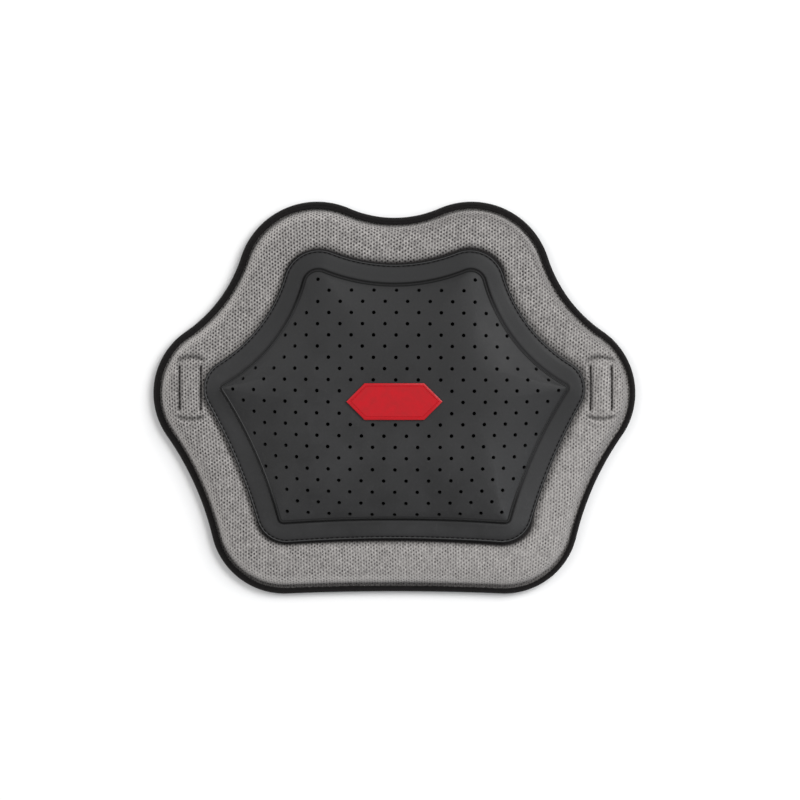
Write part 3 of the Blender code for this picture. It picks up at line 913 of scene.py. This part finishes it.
def knit_cells(columns, steps):
    """Flat points, tones, depths and faces of dimples at these columns and half steps of the knit."""
    corners = {}
    flat, tones, depths, faces = [], [], [], []
    rng = np.random.default_rng(7)
    for column, step in zip(columns, steps):
        outer = []
        for across, up in HEXAGON:
            key = (int(column) * 3 + across, int(step) + up)
            if key not in corners:
                corners[key] = len(flat)
                flat.append((key[0] * KNIT_COLUMN / 3, key[1] * KNIT_PITCH / 2))
                # Knots stand a little higher and are painted lighter as a painted highlight; the strands
                # between them are painted duller.
                knot = key[0] % 3 == 2
                tones.append(rng.uniform(0.95, 1.75) if knot else rng.uniform(0.62, 1.15))
                depths.append(rng.uniform(-0.26, -0.10) if knot else rng.uniform(-0.03, 0.10))
            outer.append(corners[key])
        x = column * KNIT_COLUMN
        y = step * KNIT_PITCH / 2
        opening = min(openness(x, y) * rng.uniform(0.60, 1.25), 1.0)
        x += rng.uniform(-0.19, 0.19) * MM
        y += rng.uniform(-0.19, 0.19) * MM
        loops = [outer]
        for dimple in DIMPLE:
            shape = np.array(dimple.closed) * (1 - opening) + np.array(dimple.open) * opening
            width, height, depth, tone = shape
            loop = []
            for across, up in HEXAGON:
                loop.append(len(flat))
                flat.append((x + across * KNIT_COLUMN / 3 * width, y + up * KNIT_PITCH / 2 * height))
                tones.append(tone)
                depths.append(depth)
            loops.append(loop)
        for low, high in zip(loops, loops[1:]):
            for place in range(6):
                after = (place + 1) % 6
                faces.append((low[place], low[after], high[after], high[place]))
        faces.append(tuple(loops[-1]))
    return np.array(flat), tones, depths, faces


def store(mesh, name, values):
    attribute = mesh.attributes.new(name, "FLOAT", "POINT")
    attribute.data.foreach_set("value", np.array(values, np.float32))


def make_knit(top_tree, wrap, core):
    """The knitted cover of the ring: one dimpled cell for each hole, in a left and a right half."""
    reach_x = int(PAD_SIZE[0] / KNIT_COLUMN) + 8
    reach_y = int(PAD_SIZE[1] / KNIT_PITCH) + 8
    columns, steps = np.meshgrid(np.arange(-reach_x, reach_x + 1), np.arange(-reach_y, reach_y + 1))
    columns = columns.ravel()
    steps = steps.ravel() * 2 + (columns % 2)
    centres = np.column_stack([columns * KNIT_COLUMN, steps * KNIT_PITCH / 2])
    real, insets = wrap.place(warped(centres))
    seam_edge = outline(PLATE_SIZE, PLATE_SHAPE, fine=24)
    keep = (insets > 2.0 * MM) & (depth_inside(real, seam_edge) < 1.6 * MM)
    columns, steps = columns[keep], steps[keep]
    material = knit_material()
    for name, half in (("knit_cover_left", columns < 0), ("knit_cover_right", columns >= 0)):
        flat, tones, depths, faces = knit_cells(columns[half], steps[half])
        real, insets = wrap.place(warped(flat))
        seam, run = nearest(real, seam_edge)
        verts = []
        for (x, y), depth in zip(real, depths):
            hit = drop_on(top_tree, x, y)
            if hit is None:
                verts.append((x, y, LIP_TOP - depth * KNIT_DEPTH))
                continue
            point, normal = hit
            verts.append(tuple(point + normal * (side_relief(x, y) - depth * KNIT_DEPTH)))
        cover = add_piece(name, verts, faces, material)
        store(cover.data, "tone", tones)
        store(cover.data, "seam", -seam / MM)
        store(cover.data, "run", run / MM)
        store(cover.data, "rim", (insets - tape_width(real)) / MM)
        cover.parent = core


def warped(points):
    dx, dy = knit_warp(points[:, 0], points[:, 1])
    return points + np.column_stack([dx, dy])


def tape_width(points):
    """How far in the tape reaches: less at the right and below, where it was folded off the middle."""
    across = points[:, 0] / PAD_SIZE[0]
    up = points[:, 1] / PAD_SIZE[1]
    return BINDING_WIDTH - (0.75 + 0.30 * across + 0.20 * np.abs(across) - 0.40 * up) * MM


def make_binding():
    """The tape round the lip, a rounded U in section, uneven at its sewn edges and thicker at its join."""
    low = BINDING_LOW.z
    high = BINDING_HIGH.z
    turn = 1.9 * MM
    upper = [(1.00, 0.75), (1.02, 0.30), (0.95, 0.05), (0.78, 0.06), (0.60, 0.00)]
    section = [(BINDING_WIDTH * share, high - drop * MM) for share, drop in upper]
    for step in range(7):
        angle = radians(90 - 15 * step)
        section.append((turn * (1 - cos(angle)), high - turn * (1 - sin(angle))))
    for step in range(7):
        angle = radians(15 * step)
        section.append((turn * (1 - cos(angle)), low + turn * (1 - sin(angle))))
    section += [(BINDING_WIDTH * share, low + drop * MM) for share, drop in upper[::-1]]
    section += [(BINDING_WALL, low + BINDING_WALL), (BINDING_WALL, high - BINDING_WALL)]
    fine = FINE * 3
    base = outline(PAD_SIZE, PAD_SHAPE, fine=fine)
    inward = outline(PAD_SIZE, PAD_SHAPE, MM, fine=fine) - base
    run = np.concatenate([[0], np.cumsum(np.linalg.norm(np.roll(base, -1, axis=0) - base, axis=1))])
    places = run[:-1]
    join_x = 7.6 * MM
    near_join = (base[:, 1] < 0) * np.exp(-((base[:, 0] - join_x) / (3.5 * MM)) ** 4)
    slow = np.sin(places / (3.9 * MM) + 1.0) + np.sin(places / (8.3 * MM))
    ragged = np.abs(np.sin(places / (0.53 * MM) + 0.6 * slow)) - 0.6
    width_share = tape_width(base) / BINDING_WIDTH
    middle = (high + low) / 2
    rows = []
    for inset, height in section:
        share = inset / BINDING_WIDTH
        reach = inset * (1 + (width_share - 1) * min(share / 0.6, 1))
        reach = reach + (0.05 * slow * share + 0.30 * ragged * max(share - 0.7, 0) / 0.3) * MM
        drawn = ring(base + inward * (reach / MM)[:, None], height)
        if turn * 0.3 < inset < BINDING_WIDTH * 0.98:
            drawn[:, 2] += near_join * 0.28 * MM * (1 if height > middle else -1)
        drawn[:, 2] = np.maximum(drawn[:, 2], 0.02 * MM)
        rows.append(drawn)
    verts, faces = rows_to_mesh(rows, closed=True)
    tape = add_piece("binding_tape", verts, faces, binding_material())
    count = len(base)
    loops = np.empty(len(tape.data.loops), np.int64)
    tape.data.loops.foreach_get("vertex_index", loops)
    place = loops % count
    closes = np.repeat((loops[::4] % count) == count - 1, 4) & (place == 0)
    along = np.where(closes, run[-1], run[place])
    steps = [hypot(b[0] - a[0], b[1] - a[1]) for a, b in zip(section, section[1:])]
    girth = np.concatenate([[0], np.cumsum(steps)])
    across = girth[loops // count]
    uv = tape.data.uv_layers.new(name="run")
    uv.data.foreach_set("uv", (np.column_stack([along, across]) * 1000).ravel())
    face_outwards(tape)
    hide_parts("edge_binding")
    return tape


def moulded(x, y):
    """Where a place of the flat lattice comes to lie once the panel is drawn down over the pad: nearer the
    middle at the sides, and higher in the lower corners."""
    flat = PANEL_SIZE[0] / 2 + CREEP_SLANT * y
    out = abs(x) / PANEL_SIZE[0]
    drawn = HOLE_CREEP * max(abs(x) - flat, 0.0) / (PANEL_SIZE[0] / 2)
    return x - np.sign(x) * drawn, y + out * out * (HOLE_RISE - HOLE_CORNER_RISE * y / PANEL_SIZE[1])


def hole_places():
    """The places of both lattices that lie inside the panel and clear of the badge, a touch askew."""
    middle = (BADGE_LOW + BADGE_HIGH) / 2
    places = []
    for row in range(-16, 17):
        for column in range(-18, 19):
            if (row + column) % 2 == 0:
                places.append(moulded(column * HOLE_PITCH / 2, middle.y + row * HOLE_PITCH / 2))
    places = np.array(places)
    depth = depth_inside(places, outline(PANEL_SIZE, PANEL_SHAPE, fine=24))
    upper_flank = (places[:, 1] > 0) & (np.abs(places[:, 0]) > 0.6 * PANEL_SIZE[0])
    margin = np.where(upper_flank, HOLE_FLANK_MARGIN, HOLE_MARGIN)
    keep = (depth > margin) & (depth_inside(places, badge_outline(BADGE_MARGIN)) < 0)
    places[:, 0] -= np.sign(places[:, 0]) * np.maximum(HOLE_EDGE - depth, 0) * sqrt(2) * keep
    x, y = places[keep].T
    return np.column_stack([x + HOLE_TILT * y + HOLE_SHIFT[0], y - HOLE_TILT / 2 * x + HOLE_SHIFT[1]])


def badge_outline(margin=0.0):
    """A long hexagon whose ends are square points, grown by the margin."""
    half_length = (BADGE_HIGH.x - BADGE_LOW.x) / 2 + margin * sqrt(2)
    half_height = (BADGE_HIGH.y - BADGE_LOW.y) / 2 + margin
    shoulder = half_length - half_height
    right = [(shoulder, -half_height), (half_length, 0.0), (shoulder, half_height)]
    points = right + [(-x, -y) for x, y in right]
    return np.array(points) + (0, (BADGE_HIGH.y + BADGE_LOW.y) / 2)


def make_plate(top_rows, creases):
    """The moulded plate with all its perforations, each cut square to the surface with a soft rim. It gives
    back the tree of its top, for what is laid on it."""
    under = [plate_row(row, under=True) for row in PLATE_RINGS]
    under[2] = under[2] * (0.98, 0.98, 1.0)
    under[3] = under[3] * (0.98, 0.98, 1.0)
    under = under[:4] + smooth_rows(under[3:], 6 * MM)[1:]
    rows = top_rows[::-1] + under
    verts, faces = rows_to_mesh(rows)
    plate = add_piece("plate_shell", verts, faces, plate_material())
    count = len(rows[0])
    store(plate.data, "crease", np.repeat(creases[::-1] + [0.0] * len(under), count))
    face_outwards(plate)
    tree = surface_tree(top_rows + [top_rows[-1] * (0.02, 0.02, 1.0)])
    bm = bmesh.new()
    profile = ((-6 * MM, HOLE_RADIUS), (-0.25 * MM, HOLE_RADIUS),
               (0.0, HOLE_RADIUS + HOLE_CHAMFER), (1.5 * MM, HOLE_RADIUS + 1.5 * MM))
    for x, y in hole_places():
        hit = drop_on(tree, x, y)
        if hit is None:
            continue
        point, normal = hit
        turn = normal.to_track_quat("Z", "Y")
        rows = []
        for height, radius in profile:
            angles = [tau * side / HOLE_SIDES for side in range(HOLE_SIDES)]
            rows.append([bm.verts.new(point + turn @ Vector((radius * cos(a), radius * sin(a), height)))
                         for a in angles])
        body = [bm.faces.new(rows[0]), bm.faces.new(rows[-1])]
        for low, high in zip(rows, rows[1:]):
            for place in range(HOLE_SIDES):
                after = (place + 1) % HOLE_SIDES
                body.append(bm.faces.new((low[place], low[after], high[after], high[place])))
        bmesh.ops.recalc_face_normals(bm, faces=body)
    mesh = bpy.data.meshes.new("hole_cutters")
    bm.to_mesh(mesh)
    bm.free()
    cutter = bpy.data.objects.new("hole_cutters", mesh)
    bpy.context.scene.collection.objects.link(cutter)
    boolean = plate.modifiers.new("holes", "BOOLEAN")
    boolean.operation = "DIFFERENCE"
    boolean.solver = "EXACT"
    boolean.object = cutter
    apply_modifiers(plate)
    bpy.data.objects.remove(cutter, do_unlink=True)
    plate.data.set_sharp_from_angle(angle=radians(42))
    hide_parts("plate")
    return tree


def apply_modifiers(obj):
    graph = bpy.context.evaluated_depsgraph_get()
    mesh = bpy.data.meshes.new_from_object(obj.evaluated_get(graph))
    obj.modifiers.clear()
    old = obj.data
    obj.data = mesh
    bpy.data.meshes.remove(old)


def add_stitch(verts, faces, start, end, normal, radius, sides=6):
    """One stitch: a slim bead of thread that dips into the surface at both ends."""
    start = np.array(start)
    end = np.array(end)
    normal = np.array(normal)
    along = end - start
    aside = np.cross(normal, along)
    aside /= np.linalg.norm(aside)
    first = len(verts)
    stations = ((0.0, 0.35, -0.9), (0.12, 0.85, -0.1), (0.32, 1.0, 0.35), (0.68, 1.0, 0.35),
                (0.88, 0.85, -0.1), (1.0, 0.35, -0.9))
    for share, size, lift in stations:
        centre = start + along * share + normal * lift * radius
        for side in range(sides):
            angle = tau * side / sides
            verts.append(centre + (aside * cos(angle) + normal * sin(angle)) * radius * size)
    for station in range(len(stations) - 1):
        for side in range(sides):
            after = (side + 1) % sides
            a = first + station * sides
            faces.append((a + side, a + after, a + sides + after, a + sides + side))
    faces.append(tuple(first + side for side in reversed(range(sides))))
    last = first + (len(stations) - 1) * sides
    faces.append(tuple(last + side for side in range(sides)))


def stitches_along(path, tree, pitch, length, radius, lift=0.0, start=0.0):
    """Stitches at an even pitch along a closed path of (x, y) points, laid on a surface."""
    following = np.roll(path, -1, axis=0)
    run = np.concatenate([[0], np.cumsum(np.linalg.norm(following - path, axis=1))])
    looped = np.vstack([path, path[:1]])
    count = int(run[-1] / pitch)
    step = run[-1] / count
    rng = np.random.default_rng(3)
    verts, faces = [], []
    for number in range(count):
        begin = start + number * step + rng.uniform(-0.10, 0.10) * pitch
        ends = []
        normal = Vector((0, 0, 1))
        for place in (begin, begin + length):
            place = place % run[-1]
            x = np.interp(place, run, looped[:, 0])
            y = np.interp(place, run, looped[:, 1])
            hit = drop_on(tree, x, y)
            if hit is None:
                break
            ends.append(hit[0] + hit[1] * lift)
            normal = hit[1]
        if len(ends) == 2:
            add_stitch(verts, faces, ends[0], ends[1], normal, radius)
    return verts, faces


def make_plate_stitches(tree, mat):
    path = outline(PLATE_SIZE, PLATE_SHAPE, 1.5 * MM)
    verts, faces = stitches_along(path, tree, 3.0 * MM, 2.1 * MM, 0.27 * MM, lift=0.05 * MM)
    return add_piece("plate_stitches", verts, faces, mat)


def make_binding_stitches(mat):
    insets = (1.2 * MM, 3.8 * MM)
    tree_rows = [ring(outline(PAD_SIZE, PAD_SHAPE, inset), BINDING_HIGH.z) for inset in insets]
    path = outline(PAD_SIZE, PAD_SHAPE, 2.2 * MM)
    tree = surface_tree(tree_rows)
    verts, faces = stitches_along(path, tree, 3.2 * MM, 2.5 * MM, 0.20 * MM, lift=-0.10 * MM)
    return add_piece("binding_stitches", verts, faces, mat)


def make_side_stitches(top_tree, mat):
    """Dark thread at the bottom of the two sewn lines of each side, its darkness partly painted shade of
    the lines.
    """
    verts, faces = [], []
    pitch = 3.3 * MM
    for side in (-1, 1):
        for offset in (-LINE_SPACING / 2, LINE_SPACING / 2):
            x = side * (PLATE_SIZE[0] + LINES_OUT) + LINES_SHIFT + offset
            count = int(LINE_LENGTH / pitch)
            for number in range(count):
                y = LINES_CENTRE_Y - LINE_LENGTH / 2 + (number + 0.1) * LINE_LENGTH / count
                ends = []
                for place in (y, y + pitch * 0.85):
                    point, normal = drop_on(top_tree, x, place)
                    ends.append(point + normal * (side_relief(x, place) + 0.15 * MM))
                add_stitch(verts, faces, ends[0], ends[1], Vector((0, 0, 1)), 0.30 * MM)
    return add_piece("side_stitches", verts, faces, mat)


def make_badge():
    """A plain red hexagon with a rolled edge and a fine groove inside it."""
    low = BADGE_LOW.z
    high = BADGE_HIGH.z
    rows = []
    for inset, height in ((0.0, low), (0.0, high - 0.42 * MM), (0.12 * MM, high - 0.14 * MM),
                          (0.40 * MM, high), (1.5 * MM, high), (1.7 * MM, high - 0.22 * MM),
                          (2.0 * MM, high - 0.22 * MM), (2.2 * MM, high), (5.5 * MM, high + 0.04 * MM)):
        rows.append(ring(badge_outline(-inset), height))
    verts, faces = rows_to_mesh(rows)
    badge = add_piece("badge_face", verts, faces, badge_material())
    face_outwards(badge)
    badge.data.set_sharp_from_angle(angle=radians(35))
    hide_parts("badge")
    return badge


# Floor, light and camera


def make_floor():
    mesh = bpy.data.meshes.new("floor")
    half = 3.0
    corners = [(-half, -half, 0), (half, -half, 0), (half, half, 0), (-half, half, 0)]
    mesh.from_pydata(corners, [], [(0, 1, 2, 3)])
    mesh.materials.append(floor_material())
    floor = bpy.data.objects.new("floor", mesh)
    bpy.context.scene.collection.objects.link(floor)


def area_light(name, place, size, power, colour=(1, 1, 1)):
    data = bpy.data.lights.new(name, "AREA")
    data.shape = "RECTANGLE"
    data.size, data.size_y = size
    data.energy = power
    data.color = colour
    light = bpy.data.objects.new(name, data)
    light.location = place
    light.rotation_euler = (-Vector(place)).to_track_quat("-Z", "Y").to_euler()
    bpy.context.scene.collection.objects.link(light)


def make_light():
    world = bpy.data.worlds.new("studio")
    world.use_nodes = True
    background = world.node_tree.nodes["Background"]
    background.inputs["Color"].default_value = (1.0, 1.0, 1.0, 1)
    background.inputs["Strength"].default_value = 0.45
    bpy.context.scene.world = world
    area_light("key", (2.9, 2.0, 3.5), (3.3, 3.3), 206)
    area_light("left", (-3.2, 1.2, 2.8), (2.0, 3.2), 42)
    area_light("right", (3.6, -0.4, 2.2), (1.6, 2.6), 18, (0.80, 0.89, 1.0))


def make_camera():
    distance = 4.0
    scale = (PAD_SIZE[0] * 2) / PAD_PIXELS
    width = scale * PHOTO_PIXELS
    data = bpy.data.cameras.new("camera")
    data.sensor_width = 36.0
    data.lens = data.sensor_width * distance / width
    data.clip_end = 50
    camera = bpy.data.objects.new("camera", data)
    across = (PHOTO_PIXELS / 2 - PAD_CENTRE_PIXEL[0]) * scale
    up = (PAD_CENTRE_PIXEL[1] - PHOTO_PIXELS / 2) * scale
    camera.location = (across, up, distance)
    bpy.context.scene.collection.objects.link(camera)
    bpy.context.scene.camera = camera


def main():
    bpy.context.scene.view_settings.view_transform = "Standard"
    make_camera()
    make_floor()
    make_light()
    pad_rows = pad_top_rows()
    fine_rows = smooth_rows(pad_rows, 1.2 * MM)
    top_tree = surface_tree(fine_rows)
    core = make_pad_core(fine_rows)
    make_knit(top_tree, EdgeWrap(fine_rows), core)
    make_binding()
    plate_tree = make_plate(*plate_top_rows())
    black = thread_material("thread_black", (0.002, 0.002, 0.002), (0.008, 0.007, 0.007))
    # Side-line thread: real thread, its dark colour partly painted shade of the sewn lines.
    brown = thread_material("thread_dark", (0.020, 0.017, 0.016), (0.050, 0.044, 0.041))
    make_plate_stitches(plate_tree, black)
    make_binding_stitches(black)
    make_side_stitches(top_tree, brown)
    make_badge()


main()
